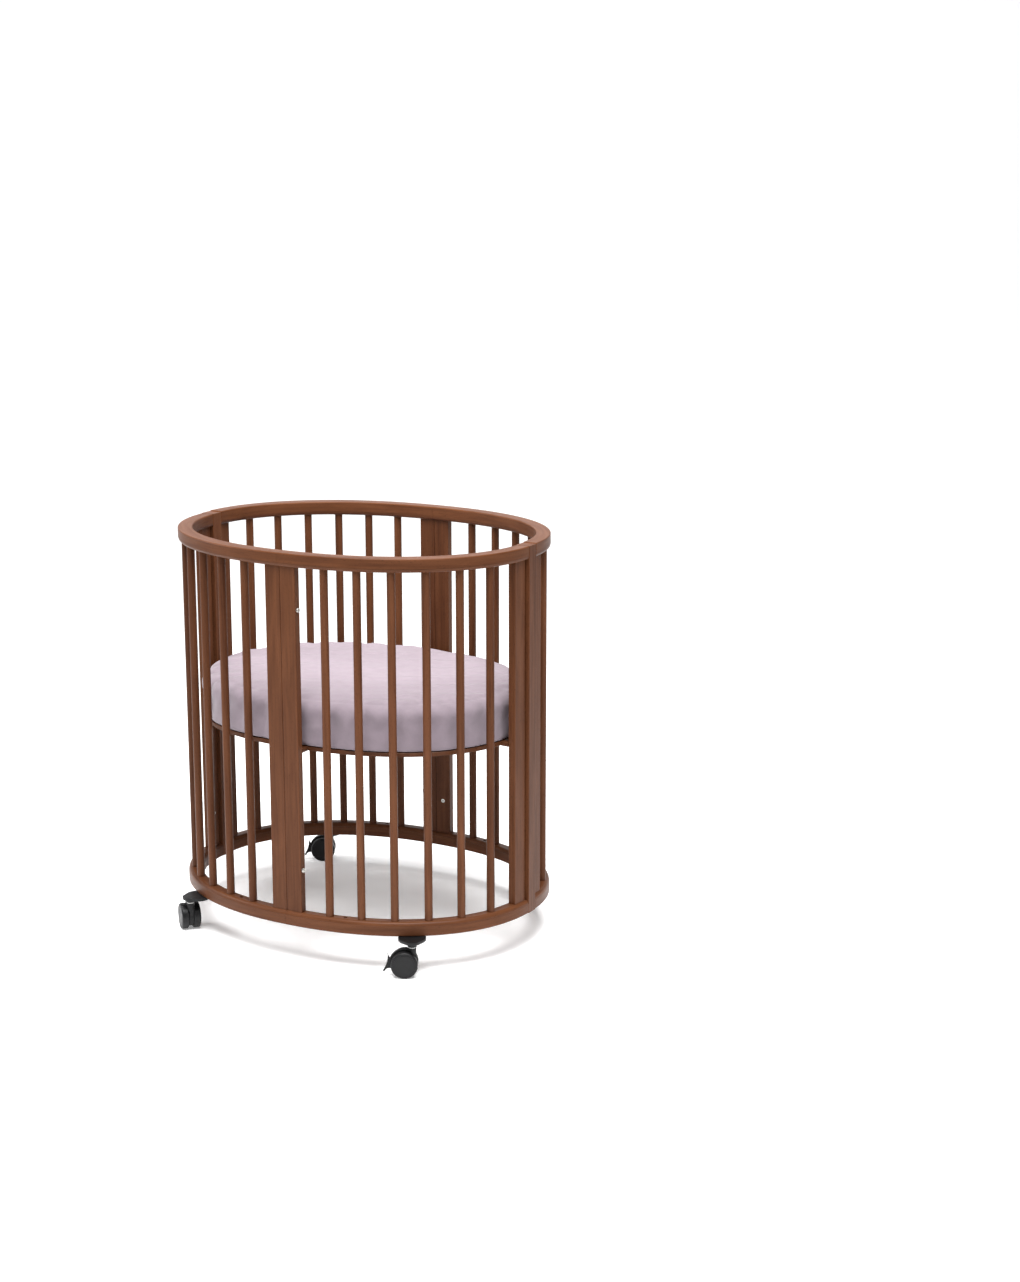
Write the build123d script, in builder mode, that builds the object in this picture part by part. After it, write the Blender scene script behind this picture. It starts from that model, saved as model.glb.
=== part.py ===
"""Oval baby crib on four braked twin-wheel casters, with a lift-out mattress on a height-adjustable base.

Frame: millimetres, +Z up, X along the long axis of the oval, Y along its short axis, the origin on the
floor under the oval's centre. "Front" is -Y and "right" is +X.

The crib's sides are four curved quarter panels. The two front ones carry a full-height post at each end
of the long axis, and the two rear ones are bolted against those posts.
"""
import os
from math import cos, pi, radians, sin

from build123d import *

# ---------------------------------------------------------------- driving dimensions: the oval
half_length = 412.8          # outer face of the rails, along X
half_width = 321.5           # outer face of the rails, along Y
oval_power = 2.175           # 2 would be a true ellipse, more is squarer
crib_height = 870.0          # floor to the top of the top rail

# ---------------------------------------------------------------- rails
rail_width = 31.4
top_rail_height = 30.5
bottom_rail_height = 29.6
bottom_rail_z = 76.4         # underside of the bottom rail
rail_small_radius = 2.5      # the edges away from the spindles
rail_large_radius = 7.5      # the edges on the spindles' side
rail_shoulder_height = 8.5   # of the band under those edges, stepped in a little
rail_shoulder_step = 0.5
rail_end_chamfer = 1.5       # at the posts
rear_rail_step = 1.8         # how far the rear top rails stand above the posts and the front ones
seam_gap = 0.4               # between two rails or boards that meet
rail_hole_diameter = 8.0     # spare hole for a fixed foot, between the first two spindles

# ---------------------------------------------------------------- spindles, boards and posts
spindle_diameter = 17.0
spindles_per_quarter = 6
board_width = 36.0
board_thickness = 17.0
board_edge_radius = 1.5
post_width = 30.0
post_edge_radius = 1.5
post_board_gap = 4.0         # open groove beside the post, in the front half
tenon_diameter = 11.0
tenon_length = 14.0
board_tenon_width = 22.0
board_tenon_thickness = 8.0
tenon_clearance = 0.05       # all round a tenon
tenon_end_clearance = 1.0

# ---------------------------------------------------------------- bolts and inserts
bolt_diameter = 6.0
bolt_head_diameter = 10.0
bolt_head_height = 3.5
bolt_head_edge_radius = 1.0
bolt_socket_flats = 4.0
bolt_socket_depth = 2.0
bolt_grip = 16.0             # how far a panel bolt reaches into the part behind the board
bolt_clearance = 0.25
insert_diameter = 9.0
insert_length = 12.0
insert_recess = 0.2
panel_bolt_low_z = 197.0
panel_bolt_high_z = 750.0

# ---------------------------------------------------------------- mattress base
base_top_z = 457.0
base_thickness = 9.0
base_inset = 44.0            # from the oval's outer face
base_edge_radius = 2.0
base_drop = 270.0            # from the high position down to the low one
tab_overlap = 12.0           # how far a tab's root lies inside the oval plate
tab_clearance = 0.4          # between a tab and the board that it slides past
tab_bolt_diameter = 5.0
tab_bolt_length = 22.0
tab_nut_diameter = 9.0
tab_nut_place = 16.0         # from the tab's end
vent_diameter = 24.0
vent_pitch = 82.0
vent_margin = 46.0

# ---------------------------------------------------------------- mattress and sheet
soft_gap = 0.4               # between the sheet and the base
sheet_thickness = 1.0
sheet_gap = 0.1              # between the sheet and the mattress
sheet_inset = 42.0
mattress_height = 96.0
mattress_top_radius = 20.0
mattress_bottom_radius = 10.0
sheet_tuck = 60.0            # how far the sheet turns under the mattress

# ---------------------------------------------------------------- casters
wheel_diameter = 56.0
wheel_width = 16.0
wheel_edge_radius = 3.5
wheel_ring_width = 1.2       # of the fine groove near the rim of a wheel's face
wheel_ring_depth = 0.8
wheel_bore_depth = 12.5
wheel_clearance = 0.6        # between a wheel and the housing
housing_thickness = 8.4
housing_radius = 32.0
hub_radius = 25.0            # of the web that stays hidden between the wheels
hood_edge_height = -4.0      # the hood's lower edge, from the axle
caster_trail = 16.0
swivel_offset = 22.5         # swivel axis, outside the rails' outer face
stem_boss_diameter = 17.0
stem_diameter = 8.0
stem_engagement = 7.0        # of the stem in the plate
housing_top_z = 62.3
housing_bottom_z = 10.0
boss_bottom_z = 42.0
washer_thickness = 1.5
washer_clearance = 0.15
axle_diameter = 6.0
running_clearance = 0.05
plate_thickness = 6.4
plate_edge_radius = 2.4
plate_boss_diameter = 19.0
plate_tip_radius = 17.0
plate_round_radius = 29.0    # the wide end, at the rail
plate_round_offset = 18.5    # its centre, in from the swivel axis
screw_diameter = 4.0
screw_head_diameter = 7.6
screw_length = 20.0
screw_spacing = 26.0
lever_thickness = 4.6
lever_slot_clearance = 0.3
lever_pin_diameter = 3.0
lever_pin_trail = 23.0       # from the wheel's axle, away from the swivel
lever_pin_height = 2.0       # above the wheel's axle
lever_edge_radius = 0.8
slot_start = 12.0            # from the axle to the back of the lever's slot
slot_height = 42.0

# the way each wheel pair trails at rest, in degrees from +X
trail_angles = {"front_right": 209.0, "front_left": 138.0, "rear_left": 209.0, "rear_right": 153.0}

# ---------------------------------------------------------------- derived places
quarters = {"front_right": (1, -1), "front_left": (-1, -1), "rear_left": (-1, 1), "rear_right": (1, 1)}
rail_middle = rail_width / 2
top_rail_z = crib_height - top_rail_height
bottom_rail_top = bottom_rail_z + bottom_rail_height
side_length = top_rail_z - bottom_rail_top
post_half = post_width / 2
wheel_radius = wheel_diameter / 2
axle_z = wheel_radius
track_half = housing_thickness / 2 + wheel_clearance
pair_half_width = track_half + wheel_width

os.makedirs("parts", exist_ok=True)


def save(builder, name):
    """Label a finished sub-part and write its STEP file."""
    builder.part.label = name
    export_step(builder.part, f"parts/{name}.step")


# ================================================================ the oval
def oval_point(turn, inset, sign_x=1, sign_y=1):
    """Point of one quarter of the oval: turn runs from 0 on the long axis to 90 on the short one."""
    c = cos(radians(turn))
    s = sin(radians(turn))
    x = half_length * c ** (2 / oval_power)
    y = half_width * s ** (2 / oval_power)
    normal = Vector((x / half_length) ** (oval_power - 1) / half_length,
                    (y / half_width) ** (oval_power - 1) / half_width).normalized()
    return Vector(sign_x * (x - inset * normal.X), sign_y * (y - inset * normal.Y))


def oval_points(inset, sign_x=1, sign_y=1, steps=18):
    """Points of one quarter, from the long axis to the short one, closer together near its ends."""
    turns = [45 - 45 * cos(pi * i / steps) for i in range(steps + 1)]
    return [oval_point(turn, inset, sign_x, sign_y) for turn in turns]


def quarter_curve(inset, sign_x=1, sign_y=1):
    """One quarter of the oval as a spline, square to both axes."""
    return Spline(oval_points(inset, sign_x, sign_y), tangents=[(0, sign_y), (-sign_x, 0)])


with BuildLine() as middle_line:
    quarter_curve(rail_middle)
middle_edge = middle_line.edge()
quarter_length = middle_edge.length


def side_place(distance, sign_x, sign_y, inset=rail_middle):
    """Plane at a distance from the short axis along the rails' middle line.

    Its x axis runs along the rail towards the long axis and its z axis is up; its y axis is square to
    the rail, and inset moves it in from the oval's outer face.
    """
    at = middle_edge.position_at(quarter_length - distance, position_mode=PositionMode.LENGTH)
    along = -middle_edge.tangent_at(quarter_length - distance, position_mode=PositionMode.LENGTH)
    inward = Vector(-abs(along.Y), -abs(along.X))
    at = at + inward * (inset - rail_middle)
    return Plane(origin=(sign_x * at.X, sign_y * at.Y, 0),
                 x_dir=(sign_x * along.X, sign_y * along.Y, 0), z_dir=(0, 0, 1))


# the front end board stands off the post; the rear one stands against it
front_end_edge = quarter_length - post_half - post_board_gap
side_opening = front_end_edge - 2 * board_width
spindle_gap = (side_opening - spindles_per_quarter * spindle_diameter) / (spindles_per_quarter + 1)
spindle_pitch = spindle_gap + spindle_diameter
spindle_places = [board_width + spindle_gap + spindle_diameter / 2 + i * spindle_pitch
                  for i in range(spindles_per_quarter)]
hole_place = (spindle_places[0] + spindle_places[1]) / 2
caster_place = (spindle_places[2] + spindle_places[3]) / 2
seam_board_centre = seam_gap / 2 + board_width / 2
end_board_centre = {-1: post_half + post_board_gap + board_width / 2,
                    1: post_half + seam_gap + board_width / 2}
board_x = half_length - rail_middle
board_y = half_width - rail_middle


def end_board_plane(sign_x, sign_y, z=0.0):
    """Plane of an end board's section: along the rail in front, square to the post it is bolted to behind."""
    place = side_place(quarter_length - end_board_centre[sign_y], sign_x, sign_y)
    if sign_y < 0:
        return Plane(origin=place.origin + Vector(0, 0, z), x_dir=place.x_dir, z_dir=(0, 0, 1))
    return Plane(origin=(place.origin.X, end_board_centre[sign_y], z), x_dir=(0, 1, 0), z_dir=(0, 0, 1))


def seam_board_plane(sign_x, sign_y, z=0.0):
    """Plane of a seam board's section, square to the short axis."""
    return Plane(origin=(sign_x * seam_board_centre, sign_y * board_y, z), x_dir=(1, 0, 0), z_dir=(0, 0, 1))


# ================================================================ rails
def make_rail(name, sign_x, sign_y, low_z, height, holes_face_up):
    """Quarter rail: a curved bar with mortises for its spindles and boards on one side."""
    end_y = post_half if sign_y < 0 else post_half + seam_gap
    high_z = low_z + height
    mortise_plane = high_z if holes_face_up else low_z
    shoulder_z = high_z - rail_shoulder_height if holes_face_up else low_z
    body_z = low_z if holes_face_up else low_z + rail_shoulder_height
    depth = tenon_length + tenon_end_clearance
    into = -depth if holes_face_up else depth
    with BuildPart() as rail:
        for step, z, amount in ((0, body_z, height - rail_shoulder_height),
                                (rail_shoulder_step, shoulder_z, rail_shoulder_height)):
            with BuildSketch(Plane.XY.offset(z)):
                with BuildLine():
                    outer = quarter_curve(step, sign_x, sign_y)
                    inner = quarter_curve(rail_width - step, sign_x, sign_y)
                    Line(outer @ 0, inner @ 0)
                    Line(outer @ 1, inner @ 1)
                make_face()
            extrude(amount=amount)
        with BuildSketch(Plane.XY.offset(low_z)):
            Rectangle(3 * half_length, 2 * end_y)
            Rectangle(seam_gap, 3 * half_width)
        extrude(amount=height, mode=Mode.SUBTRACT)
        long_edges = rail.edges().filter_by(GeomType.BSPLINE)
        top_edges = long_edges.group_by(Axis.Z)[-1]
        bottom_edges = long_edges.group_by(Axis.Z)[0]
        spindle_side, outer_side = (top_edges, bottom_edges) if holes_face_up else (bottom_edges, top_edges)
        fillet(spindle_side, rail_large_radius)
        fillet(outer_side, rail_small_radius)
        post_end = rail.faces().filter_by(Axis.Y).sort_by(lambda face: abs(face.center().Y))[0]
        chamfer(post_end.edges().group_by(Axis.Z)[-1], rail_end_chamfer)
        with BuildSketch(Plane.XY.offset(mortise_plane)):
            for distance in spindle_places:
                with Locations(side_place(distance, sign_x, sign_y).origin):
                    Circle(tenon_diameter / 2 + tenon_clearance)
        extrude(amount=into, mode=Mode.SUBTRACT)
        for plane in (seam_board_plane(sign_x, sign_y, mortise_plane),
                      end_board_plane(sign_x, sign_y, mortise_plane)):
            with BuildSketch(plane):
                Rectangle(board_tenon_width + 2 * tenon_clearance, board_tenon_thickness + 2 * tenon_clearance)
            extrude(amount=into, mode=Mode.SUBTRACT)
        if holes_face_up:
            with BuildSketch(Plane.XY.offset(low_z)):
                with Locations(side_place(hole_place, sign_x, sign_y).origin):
                    Circle(rail_hole_diameter / 2)
            extrude(amount=height, mode=Mode.SUBTRACT)
            with Locations(*[Plane(origin=at, z_dir=(0, 0, -1)) for at in screw_places(sign_x, sign_y, low_z)]):
                Hole(screw_diameter / 2, depth=screw_length - plate_thickness + tenon_end_clearance)
    save(rail, name)


def screw_places(sign_x, sign_y, z):
    """Where the two caster screws enter the bottom rail."""
    place = side_place(caster_place, sign_x, sign_y)
    return [place.origin + place.x_dir * side * screw_spacing / 2 + Vector(0, 0, z) for side in (-1, 1)]


# ================================================================ panel joints and base fixings
board_side = seam_gap / 2 + board_width
end_side = post_half + seam_gap + board_width

# where each pair of panel bolts enters, on the side face of the board under its heads, and its direction
panel_joints = {
    "front_seam": (Vector(board_side, -board_y), Vector(-1, 0, 0)),
    "rear_seam": (Vector(-board_side, board_y), Vector(1, 0, 0)),
    "left_end": (Vector(-board_x, end_side), Vector(0, -1, 0)),
    "right_end": (Vector(board_x, end_side), Vector(0, -1, 0)),
}


def joint_planes(joint, start=0.0):
    """Planes facing the driver, at both bolt heights and a distance along the bolts."""
    point, drive = panel_joints[joint]
    return [Plane(origin=point + drive * start + Vector(0, 0, z), z_dir=-drive)
            for z in (panel_bolt_low_z, panel_bolt_high_z)]


def through_drillings(joint):
    """Plain holes through the board under the bolt heads: (planes, radius, depth)."""
    return [(joint_planes(joint, -board_edge_radius), bolt_diameter / 2 + bolt_clearance,
             board_width + 2 * board_edge_radius)]


def insert_drillings(joint):
    """Holes for the inserts and the bolt tips in the part behind."""
    planes = joint_planes(joint, board_width + seam_gap)
    return [(planes, insert_diameter / 2, insert_length + insert_recess),
            (planes, bolt_diameter / 2 + bolt_clearance, bolt_grip + tenon_end_clearance)]


def seam_fixing(sign_x, sign_y):
    """Middle of a seam board's inner face and the direction inwards."""
    return Vector(sign_x * seam_board_centre, sign_y * (board_y - board_thickness / 2)), Vector(0, -sign_y, 0)


def end_fixing(sign_x, sign_y):
    """Middle of an end board's inner face and the direction inwards."""
    distance = quarter_length - end_board_centre[sign_y]
    middle = side_place(distance, sign_x, sign_y).origin
    face = side_place(distance, sign_x, sign_y, inset=rail_middle + board_thickness / 2).origin
    return face, (face - middle).normalized()


base_fixings = {
    "seam_board_front_right": seam_fixing(1, -1),
    "seam_board_rear_right": seam_fixing(1, 1),
    "end_board_front_right": end_fixing(1, -1),
    "end_board_front_left": end_fixing(-1, -1),
}
base_middle_z = base_top_z - base_thickness / 2
fixing_heights = (base_middle_z, base_middle_z - base_drop)


def fixing_drillings(board_name):
    """Insert holes in a board's inner face, for the base's high and low positions."""
    if board_name not in base_fixings:
        return []
    face, inward = base_fixings[board_name]
    planes = [Plane(origin=face + Vector(0, 0, z), z_dir=inward) for z in fixing_heights]
    return [(planes, insert_diameter / 2, insert_length + insert_recess)]


# ================================================================ spindles, boards and posts
def make_spindles(name, sign_x, sign_y):
    """Six round spindles with a turned tenon at each end."""
    places = [side_place(distance, sign_x, sign_y).origin for distance in spindle_places]
    with BuildPart() as spindles:
        with BuildSketch(Plane.XY.offset(bottom_rail_top)):
            with Locations(*places):
                Circle(spindle_diameter / 2)
        extrude(amount=side_length)
        with BuildSketch(Plane.XY.offset(bottom_rail_top - tenon_length)):
            with Locations(*places):
                Circle(tenon_diameter / 2)
        extrude(amount=side_length + 2 * tenon_length)
    save(spindles, name)


def make_board(name, plane, drillings):
    """Upright board with a tenon at each end, drilled for its bolts and inserts."""
    with BuildPart() as board:
        with BuildSketch(plane.offset(bottom_rail_top)):
            Rectangle(board_width, board_thickness)
        extrude(amount=side_length)
        fillet(board.edges().filter_by(Axis.Z), board_edge_radius)
        with BuildSketch(plane.offset(bottom_rail_top - tenon_length)):
            Rectangle(board_tenon_width, board_tenon_thickness)
        extrude(amount=side_length + 2 * tenon_length)
        for planes, radius, depth in drillings + fixing_drillings(name):
            with Locations(*planes):
                Hole(radius, depth=depth)
    save(board, name)


def make_post(name, sign_x, joint):
    """Full-height post that closes the oval at one end of the long axis."""
    with BuildPart() as post:
        with BuildSketch(Plane.XY.offset(bottom_rail_z)):
            with Locations((sign_x * board_x, 0)):
                Rectangle(rail_width, post_width)
        extrude(amount=crib_height - rear_rail_step - bottom_rail_z)
        fillet(post.edges().filter_by(Axis.Z), post_edge_radius)
        for planes, radius, depth in insert_drillings(joint):
            with Locations(*planes):
                Hole(radius, depth=depth)
    save(post, name)


# ================================================================ casters
def caster_frame(name):
    """The swivel point on the floor, the outward plane there, and the plane of the wheels' middle.

    The outward plane has its x axis pointing away from the crib. The wheels' plane has its origin on the
    axle, its x axis along the trail and its y axis up, so its z axis runs along the axle.
    """
    sign_x, sign_y = quarters[name]
    rail_point = side_place(caster_place, sign_x, sign_y)
    swivel = side_place(caster_place, sign_x, sign_y, inset=-swivel_offset).origin
    outward = (swivel - rail_point.origin).normalized()
    trail = Vector(cos(radians(trail_angles[name])), sin(radians(trail_angles[name])), 0)
    plate_plane = Plane(origin=swivel, x_dir=outward, z_dir=(0, 0, 1))
    wheel_plane = Plane(origin=swivel + trail * caster_trail + Vector(0, 0, axle_z),
                        x_dir=trail, z_dir=trail.cross(Vector(0, 0, 1)))
    return swivel, plate_plane, wheel_plane


def make_caster_plate(name):
    """Petal-shaped bracket under the rail, with a boss that takes the caster's stem."""
    sign_x, sign_y = quarters[name]
    swivel, plate_plane, wheel_plane = caster_frame(name)
    plate_z = bottom_rail_z - plate_thickness
    boss_z = housing_top_z + washer_thickness + 2 * washer_clearance
    with BuildPart() as plate:
        with BuildSketch(plate_plane.offset(plate_z)):
            Circle(plate_tip_radius)
            with Locations((-plate_round_offset, 0)):
                Circle(plate_round_radius)
            make_hull()
        extrude(amount=plate_thickness)
        fillet(plate.edges().group_by(Axis.Z)[0], plate_edge_radius)
        with BuildSketch(plate_plane.offset(boss_z)):
            Circle(plate_boss_diameter / 2)
        extrude(amount=plate_z - boss_z + plate_edge_radius)
        with Locations(Plane(origin=swivel + Vector(0, 0, boss_z), z_dir=(0, 0, -1))):
            Hole(stem_diameter / 2 + running_clearance, depth=stem_engagement + tenon_end_clearance)
        for at in screw_places(sign_x, sign_y, plate_z):
            with Locations(Plane(origin=at, z_dir=(0, 0, -1))):
                CounterSinkHole(screw_diameter / 2, screw_head_diameter / 2, depth=plate_thickness)
    save(plate, f"caster_plate_{name}")


def make_caster_housing(name):
    """Hood between the two wheels, with the boss that turns under the plate and the brake's slot."""
    swivel, plate_plane, wheel_plane = caster_frame(name)
    with BuildPart() as housing:
        with BuildSketch(wheel_plane.offset(-housing_thickness / 2)):
            Circle(housing_radius)
            with Locations((0, hood_edge_height - housing_radius)):
                Rectangle(4 * housing_radius, 2 * housing_radius, mode=Mode.SUBTRACT)
            with Locations((-caster_trail - stem_boss_diameter / 2 - housing_radius, 0)):
                Rectangle(2 * housing_radius, 2 * housing_radius, mode=Mode.SUBTRACT)
            Circle(hub_radius)
            with Locations((0, housing_bottom_z - axle_z - housing_radius)):
                Rectangle(4 * housing_radius, 2 * housing_radius, mode=Mode.SUBTRACT)
        extrude(amount=housing_thickness)
        with BuildSketch(plate_plane.offset(boss_bottom_z)):
            Circle(stem_boss_diameter / 2)
        extrude(amount=housing_top_z - boss_bottom_z)
        for side in (-1, 1):
            with BuildSketch(wheel_plane.offset(side * track_half)):
                Circle(wheel_radius + wheel_clearance)
            extrude(amount=side * wheel_width, mode=Mode.SUBTRACT)
        with BuildSketch(wheel_plane.offset(-lever_thickness / 2 - lever_slot_clearance)):
            with Locations((slot_start + housing_radius / 2, 0)):
                Rectangle(housing_radius, slot_height)
        extrude(amount=lever_thickness + 2 * lever_slot_clearance, mode=Mode.SUBTRACT)
        with BuildSketch(wheel_plane.offset(-housing_thickness)):
            Circle(axle_diameter / 2)
            with Locations((lever_pin_trail, lever_pin_height)):
                Circle(lever_pin_diameter / 2)
        extrude(amount=2 * housing_thickness, mode=Mode.SUBTRACT)
        with BuildSketch(plate_plane.offset(boss_bottom_z)):
            Circle(stem_diameter / 2)
        extrude(amount=housing_top_z - boss_bottom_z, mode=Mode.SUBTRACT)
    save(housing, f"caster_housing_{name}")


def make_caster_pins(name):
    """Steel stem, axle and lever pin of one caster."""
    swivel, plate_plane, wheel_plane = caster_frame(name)
    boss_z = housing_top_z + washer_thickness + 2 * washer_clearance
    axle_length = 2 * (track_half + wheel_bore_depth - tenon_end_clearance)
    with BuildPart() as pins:
        with BuildSketch(plate_plane.offset(boss_bottom_z)):
            Circle(stem_diameter / 2)
        extrude(amount=boss_z + stem_engagement - boss_bottom_z)
        with BuildSketch(wheel_plane.offset(-axle_length / 2)):
            Circle(axle_diameter / 2)
        extrude(amount=axle_length)
        with BuildSketch(wheel_plane.offset(-housing_thickness / 2)):
            with Locations((lever_pin_trail, lever_pin_height)):
                Circle(lever_pin_diameter / 2)
        extrude(amount=housing_thickness)
    save(pins, f"caster_pins_{name}")


def make_wheel(name, side, side_name):
    """One of a caster's two wheels: rounded tread, outer face with a fine ring, blind bore inside."""
    ring_radius = wheel_radius - wheel_edge_radius - wheel_ring_width
    swivel, plate_plane, wheel_plane = caster_frame(name)
    with BuildPart() as wheel:
        with BuildSketch(wheel_plane.offset(side * track_half)):
            Circle(wheel_radius)
        extrude(amount=side * wheel_width)
        fillet(wheel.edges().filter_by(GeomType.CIRCLE), wheel_edge_radius)
        with BuildSketch(wheel_plane.offset(side * pair_half_width)):
            Circle(ring_radius)
            Circle(ring_radius - wheel_ring_width, mode=Mode.SUBTRACT)
        extrude(amount=-side * wheel_ring_depth, mode=Mode.SUBTRACT)
        with BuildSketch(wheel_plane.offset(side * track_half)):
            Circle(axle_diameter / 2 + running_clearance)
        extrude(amount=side * wheel_bore_depth, mode=Mode.SUBTRACT)
    save(wheel, f"caster_wheel_{name}_{side_name}")


def make_lever(name):
    """Brake lever: a curved paddle with a spike above and a toe below, on a pin behind the wheels."""
    swivel, plate_plane, wheel_plane = caster_frame(name)
    with BuildPart() as lever:
        with BuildSketch(wheel_plane.offset(-lever_thickness / 2)):
            with BuildLine():
                Spline((35.0, 22.5), (34.8, 10.0), (37.6, -2.0), (43.6, -14.2))
                ThreePointArc((43.6, -14.2), (44.0, -17.4), (40.8, -17.0))
                Spline((40.8, -17.0), (36.6, -11.6), (30.6, -10.2), (24.0, -13.0))
                Line((24.0, -13.0), (18.0, -8.0))
                ThreePointArc((18.0, -8.0), (16.6, 1.0), (19.5, 7.5))
                Line((19.5, 7.5), (27.0, 9.5))
                Spline((27.0, 9.5), (31.5, 13.5), (34.0, 22.6))
                Line((34.0, 22.6), (35.0, 22.5))
            make_face()
            with Locations((lever_pin_trail, lever_pin_height)):
                Circle(lever_pin_diameter / 2 + running_clearance, mode=Mode.SUBTRACT)
        extrude(amount=lever_thickness)
    save(lever, f"caster_lever_{name}")


# ================================================================ fasteners
def make_panel_bolts():
    """Socket-headed bolts that clamp the panels together."""
    with BuildPart() as bolts:
        for joint in panel_joints:
            for plane in joint_planes(joint):
                with BuildSketch(plane):
                    Circle(bolt_head_diameter / 2)
                extrude(amount=bolt_head_height)
                rims = bolts.edges(Select.LAST).filter_by(GeomType.CIRCLE)
                fillet(rims.sort_by(Axis(plane.origin, plane.z_dir))[-1], bolt_head_edge_radius)
                with BuildSketch(plane.offset(bolt_head_height)):
                    RegularPolygon(bolt_socket_flats / 2, 6, major_radius=False)
                extrude(amount=-bolt_socket_depth, mode=Mode.SUBTRACT)
                with BuildSketch(plane):
                    Circle(bolt_diameter / 2)
                extrude(amount=-(board_width + bolt_grip))
    save(bolts, "panel_bolts")


def make_panel_inserts():
    """Threaded inserts, modelled plain, that the panel bolts screw into."""
    with BuildPart() as inserts:
        for joint in panel_joints:
            for plane in joint_planes(joint, board_width + seam_gap + insert_recess):
                with BuildSketch(plane):
                    Circle(insert_diameter / 2)
                    Circle(bolt_diameter / 2 + running_clearance, mode=Mode.SUBTRACT)
                extrude(amount=-insert_length)
    save(inserts, "panel_inserts")


def make_base_inserts():
    """Threaded inserts in the boards' inner faces, at the base's high and low positions."""
    with BuildPart() as inserts:
        for face, inward in base_fixings.values():
            for z in fixing_heights:
                with BuildSketch(Plane(origin=face - inward * insert_recess + Vector(0, 0, z), z_dir=inward)):
                    Circle(insert_diameter / 2)
                    RegularPolygon(bolt_socket_flats / 2, 6, major_radius=False, mode=Mode.SUBTRACT)
                extrude(amount=-insert_length)
    save(inserts, "base_inserts")


def make_caster_screws():
    """Countersunk screws that hold the caster plates to the bottom rail."""
    plate_z = bottom_rail_z - plate_thickness
    with BuildPart() as screws:
        for sign_x, sign_y in quarters.values():
            for at in screw_places(sign_x, sign_y, plate_z):
                with BuildSketch(Plane(origin=at, z_dir=(0, 0, 1))):
                    Circle(screw_diameter / 2 - running_clearance)
                extrude(amount=screw_length)
                cone_height = (screw_head_diameter - screw_diameter) / 2
                with Locations(at + Vector(0, 0, cone_height / 2)):
                    Cone(screw_head_diameter / 2 - running_clearance, screw_diameter / 2 - running_clearance,
                         cone_height)
    save(screws, "caster_screws")


def make_caster_washers():
    """Pale bearing washers between the caster plates and their housings."""
    with BuildPart() as washers:
        for name in quarters:
            swivel, plate_plane, wheel_plane = caster_frame(name)
            with BuildSketch(plate_plane.offset(housing_top_z + washer_clearance)):
                Circle(stem_boss_diameter / 2)
                Circle(stem_diameter / 2 + running_clearance, mode=Mode.SUBTRACT)
            extrude(amount=washer_thickness)
    save(washers, "caster_washers")


# ================================================================ mattress base
def oval_outline(inset):
    """The whole oval, closed, as four splines."""
    for sign_x, sign_y in quarters.values():
        quarter_curve(inset, sign_x, sign_y)


def vent_places():
    """Square grid of vent centres that keep a margin to the base's edge."""
    reach_x = half_length - base_inset - vent_margin
    reach_y = half_width - base_inset - vent_margin
    columns = range(-int(reach_x // vent_pitch), int(reach_x // vent_pitch) + 1)
    rows = range(-int(reach_y // vent_pitch), int(reach_y // vent_pitch) + 1)
    grid = [(column * vent_pitch, row * vent_pitch) for column in columns for row in rows]
    return [(x, y) for x, y in grid
            if (abs(x) / reach_x) ** oval_power + (abs(y) / reach_y) ** oval_power <= 1]


def make_mattress_base():
    """Oval plate with vents, and a tab to each of the four boards that carry it."""
    tab_end = rail_middle + board_thickness / 2
    tab_length = base_inset + tab_overlap - tab_end
    with BuildPart() as base:
        with BuildSketch(Plane.XY.offset(base_top_z - base_thickness)):
            with BuildLine():
                oval_outline(base_inset)
            make_face()
            for face, inward in base_fixings.values():
                with Locations(Location(Plane(origin=face + inward * (tab_clearance + tab_length) / 2,
                                              x_dir=inward, z_dir=(0, 0, 1)))):
                    Rectangle(tab_length - tab_clearance, board_width)
        extrude(amount=base_thickness)
        for rim in (base.edges().group_by(Axis.Z)[0], base.edges().group_by(Axis.Z)[-1]):
            chamfer(rim, base_edge_radius / 2)
        with BuildSketch(Plane.XY.offset(base_top_z - base_thickness)):
            with Locations(*vent_places()):
                Circle(vent_diameter / 2)
        extrude(amount=base_thickness, mode=Mode.SUBTRACT)
        for face, inward in base_fixings.values():
            tab_face = face + inward * tab_clearance + Vector(0, 0, base_middle_z)
            with Locations(Plane(origin=tab_face, z_dir=-inward)):
                Hole(tab_bolt_diameter / 2, depth=tab_bolt_length)
            with BuildSketch(Plane.XY.offset(base_top_z - base_thickness)):
                with Locations(face + inward * (tab_clearance + tab_nut_place)):
                    Circle(tab_nut_diameter / 2)
            extrude(amount=base_thickness, mode=Mode.SUBTRACT)
    save(base, "mattress_base")


def make_base_fittings():
    """Studs and cross nuts in the base's tabs."""
    with BuildPart() as studs:
        for face, inward in base_fixings.values():
            tab_face = face + inward * tab_clearance + Vector(0, 0, base_middle_z)
            with BuildSketch(Plane(origin=tab_face, z_dir=-inward)):
                Circle(tab_bolt_diameter / 2)
            extrude(amount=-tab_bolt_length)
    save(studs, "base_studs")
    with BuildPart() as nuts:
        for face, inward in base_fixings.values():
            tab_face = face + inward * tab_clearance + Vector(0, 0, base_middle_z)
            with BuildSketch(Plane.XY.offset(base_top_z - base_thickness)):
                with Locations(face + inward * (tab_clearance + tab_nut_place)):
                    Circle(tab_nut_diameter / 2)
            extrude(amount=base_thickness - soft_gap)
            with BuildSketch(Plane(origin=tab_face, z_dir=-inward)):
                Circle(tab_bolt_diameter / 2 + running_clearance)
            extrude(amount=-tab_bolt_length - tenon_end_clearance, mode=Mode.SUBTRACT)
    save(nuts, "base_nuts")


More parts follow.
